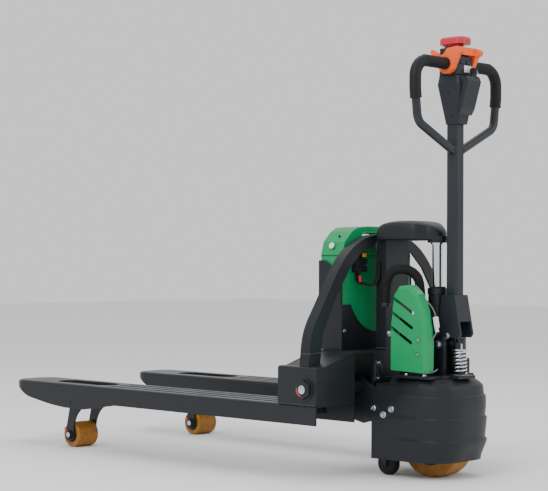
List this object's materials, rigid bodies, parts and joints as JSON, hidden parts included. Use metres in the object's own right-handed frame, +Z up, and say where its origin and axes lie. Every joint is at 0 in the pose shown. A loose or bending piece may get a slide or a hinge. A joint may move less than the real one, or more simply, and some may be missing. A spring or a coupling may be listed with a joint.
{
  "type": "electric walkie pallet jack",
  "caption": "Walkie electric pallet jack with raised twin forks, load rollers, lift linkage, drive wheel under a black shroud, green battery and a tiller with looped handles.",
  "frame": {"origin": "on the floor, in the middle of the footprint", "axes": "+X from the fork tips to the tiller, +Y to the truck's right side, +Z up"},
  "size_m": [1.6318, 0.7086, 1.216],
  "materials": {
    "frame_paint": "satin textured black powder coat",
    "shroud_plastic": "fine-grained moulded black plastic",
    "tiller_paint": "satin black paint",
    "tiller_plastic": "fine-grained black plastic",
    "green_plastic": "satin green moulded plastic",
    "orange_plastic": "orange moulded plastic",
    "red_plastic": "red moulded plastic",
    "roller_urethane": "amber-brown polyurethane",
    "black_rubber": "black rubber",
    "zinc_steel": "zinc plated",
    "chrome_rod": "hard chrome",
    "black_steel": "black oxide",
    "cast_hub": "dark cast metal",
    "black_sleeve": "braided black sleeve",
    "spring_steel": "bright spring steel"
  },
  "bodies": {
    "chassis": {"chassis_frame": "frame_paint", "steering_bearing": "zinc_steel", "drive_shroud": "shroud_plastic", "shroud_bolts": "zinc_steel"},
    "caster_swivel_left": {"caster_fork_left": "frame_paint"},
    "caster_swivel_right": {"caster_fork_right": "frame_paint"},
    "caster_roll_left": {"caster_wheel_left": "black_rubber"},
    "caster_roll_right": {"caster_wheel_right": "black_rubber"},
    "steer_unit": {"drive_fork": "frame_paint", "drive_motor": "black_steel", "drive_axle": "zinc_steel", "swivel_base": "frame_paint", "tiller_hinge_bolt": "zinc_steel", "lift_cylinder": "black_steel", "side_cover": "green_plastic", "cover_screws": "zinc_steel", "power_pack": "black_steel", "pump_motor": "black_steel", "power_hose": "black_sleeve"},
    "drive_wheel": {"drive_hub": "cast_hub", "drive_tyre": "roller_urethane"},
    "tiller": {"tiller_base": "tiller_plastic", "tiller_column": "tiller_paint", "tiller_head": "tiller_plastic", "handle_loop_left": "tiller_paint", "handle_loop_right": "tiller_paint", "handle_grips": "black_rubber", "key_switch": "tiller_plastic"},
    "throttle_wings": {"throttle": "orange_plastic"},
    "emergency_button": {"belly_button": "red_plastic"},
    "ignition_key": {"key": "tiller_plastic"},
    "raise_button": {"lift_button": "tiller_plastic"},
    "lowering_button": {"lower_button": "tiller_plastic"},
    "tiller_plunger": {"spring_plunger": "zinc_steel", "return_spring": "spring_steel"},
    "fork_frame": {"fork_left": "frame_paint", "fork_right": "frame_paint", "heel_box_left": "frame_paint", "heel_box_right": "frame_paint", "cross_member": "frame_paint", "a_frame": "frame_paint", "mast_column": "frame_paint", "top_cover": "shroud_plastic", "battery_pocket": "frame_paint", "piston_rod": "chrome_rod", "limit_switch": "zinc_steel", "battery_connector": "shroud_plastic", "roller_frame_pins": "frame_paint", "battery_leads": "black_sleeve"},
    "battery": {"battery_case": "green_plastic"},
    "leg_left": {"roller_frame_left": "frame_paint"},
    "leg_right": {"roller_frame_right": "frame_paint"},
    "roller_left": {"load_roller_left": "roller_urethane"},
    "roller_right": {"load_roller_right": "roller_urethane"},
    "lift_linkage": {"lift_shaft": "black_steel", "shaft_nuts": "black_steel", "link_arm_left": "frame_paint", "link_arm_right": "frame_paint"},
    "push_rod_pair": {"push_rods": "black_steel"}
  },
  "joints": [
    {"name": "fork_lift", "type": "slide", "parent": "chassis", "child": "fork_frame", "axis": [0, 0, 1], "range_m": [-0.12, 0]},
    {"name": "steering", "type": "hinge", "parent": "chassis", "child": "steer_unit", "pos_m": [0.689, 0, 0.26], "axis": [0, 0, 1], "range_deg": [-80, 80], "deforming": ["power_hose"]},
    {"name": "drive_wheel_spin", "type": "hinge", "parent": "steer_unit", "child": "drive_wheel", "pos_m": [0.689, 0, 0.105], "axis": [0, 1, 0], "continuous": true},
    {"name": "tiller_tilt", "type": "hinge", "parent": "steer_unit", "child": "tiller", "pos_m": [0.722, 0, 0.369], "axis": [0, 1, 0], "range_deg": [0, 70], "stiffness_Nm_per_rad": 22, "springref_deg": -68.75},
    {"name": "tiller_spring", "type": "slide", "parent": "steer_unit", "child": "tiller_plunger", "axis": [0, 0, 1], "range_m": [-0.046, 0], "deforming": ["return_spring"]},
    {"name": "throttle_twist", "type": "hinge", "parent": "tiller", "child": "throttle_wings", "pos_m": [0.754, 0, 1.14], "axis": [0, 1, 0], "range_deg": [-15, 15], "stiffness_Nm_per_rad": 0.6},
    {"name": "belly_press", "type": "slide", "parent": "tiller", "child": "emergency_button", "axis": [0, 0, -1], "range_m": [0, 0.005], "stiffness_N_per_m": 600, "springref_m": -0.004},
    {"name": "key_turn", "type": "hinge", "parent": "tiller", "child": "ignition_key", "pos_m": [0.8, 0.016, 1.11], "axis": [0, 0, 1], "range_deg": [0, 90]},
    {"name": "raise_press", "type": "slide", "parent": "tiller", "child": "raise_button", "axis": [-1, 0, 0], "range_m": [0, 0.002], "stiffness_N_per_m": 300, "springref_m": -0.002},
    {"name": "lower_press", "type": "slide", "parent": "tiller", "child": "lowering_button", "axis": [-1, 0, 0], "range_m": [0, 0.002], "stiffness_N_per_m": 300, "springref_m": -0.002},
    {"name": "battery_lift_out", "type": "slide", "parent": "fork_frame", "child": "battery", "axis": [0, 0, 1], "range_m": [0, 0.3]},
    {"name": "link_swing", "type": "hinge", "parent": "fork_frame", "child": "lift_linkage", "pos_m": [0.502, 0, 0.248], "axis": [0, 1, 0], "range_deg": [-45.5, 0]},
    {"name": "push_rod_slide", "type": "slide", "parent": "fork_frame", "child": "push_rod_pair", "axis": [1, 0, 0], "range_m": [0, 0.02785]},
    {"name": "roller_leg_left", "type": "hinge", "parent": "fork_frame", "child": "leg_left", "pos_m": [-0.502, -0.2625, 0.147], "axis": [0, 1, 0], "range_deg": [0, 71.8]},
    {"name": "load_roller_spin_left", "type": "hinge", "parent": "leg_left", "child": "roller_left", "pos_m": [-0.551, -0.2625, 0.04], "axis": [0, 1, 0], "continuous": true},
    {"name": "caster_turn_left", "type": "hinge", "parent": "chassis", "child": "caster_swivel_left", "pos_m": [0.57, -0.073, 0.09], "axis": [0, 0, 1], "continuous": true},
    {"name": "caster_spin_left", "type": "hinge", "parent": "caster_swivel_left", "child": "caster_roll_left", "pos_m": [0.576, -0.073, 0.033], "axis": [0, 1, 0], "continuous": true},
    {"name": "roller_leg_right", "type": "hinge", "parent": "fork_frame", "child": "leg_right", "pos_m": [-0.502, 0.2625, 0.147], "axis": [0, 1, 0], "range_deg": [0, 71.8]},
    {"name": "load_roller_spin_right", "type": "hinge", "parent": "leg_right", "child": "roller_right", "pos_m": [-0.551, 0.2625, 0.04], "axis": [0, 1, 0], "continuous": true},
    {"name": "caster_turn_right", "type": "hinge", "parent": "chassis", "child": "caster_swivel_right", "pos_m": [0.57, 0.073, 0.09], "axis": [0, 0, 1], "continuous": true},
    {"name": "caster_spin_right", "type": "hinge", "parent": "caster_swivel_right", "child": "caster_roll_right", "pos_m": [0.576, 0.073, 0.033], "axis": [0, 1, 0], "continuous": true}
  ],
  "couplings": [
    {"joint": "link_swing", "follows": "fork_lift", "rad_per_m": 6.6177},
    {"joint": "push_rod_slide", "follows": "fork_lift", "ratio": -0.23203},
    {"joint": "roller_leg_left", "follows": "fork_lift", "rad_per_m": -10.414},
    {"joint": "roller_leg_right", "follows": "fork_lift", "rad_per_m": -10.414},
    {"joint": "tiller_spring", "follows": "tiller_tilt", "m_per_rad": -0.03765}
  ]
}
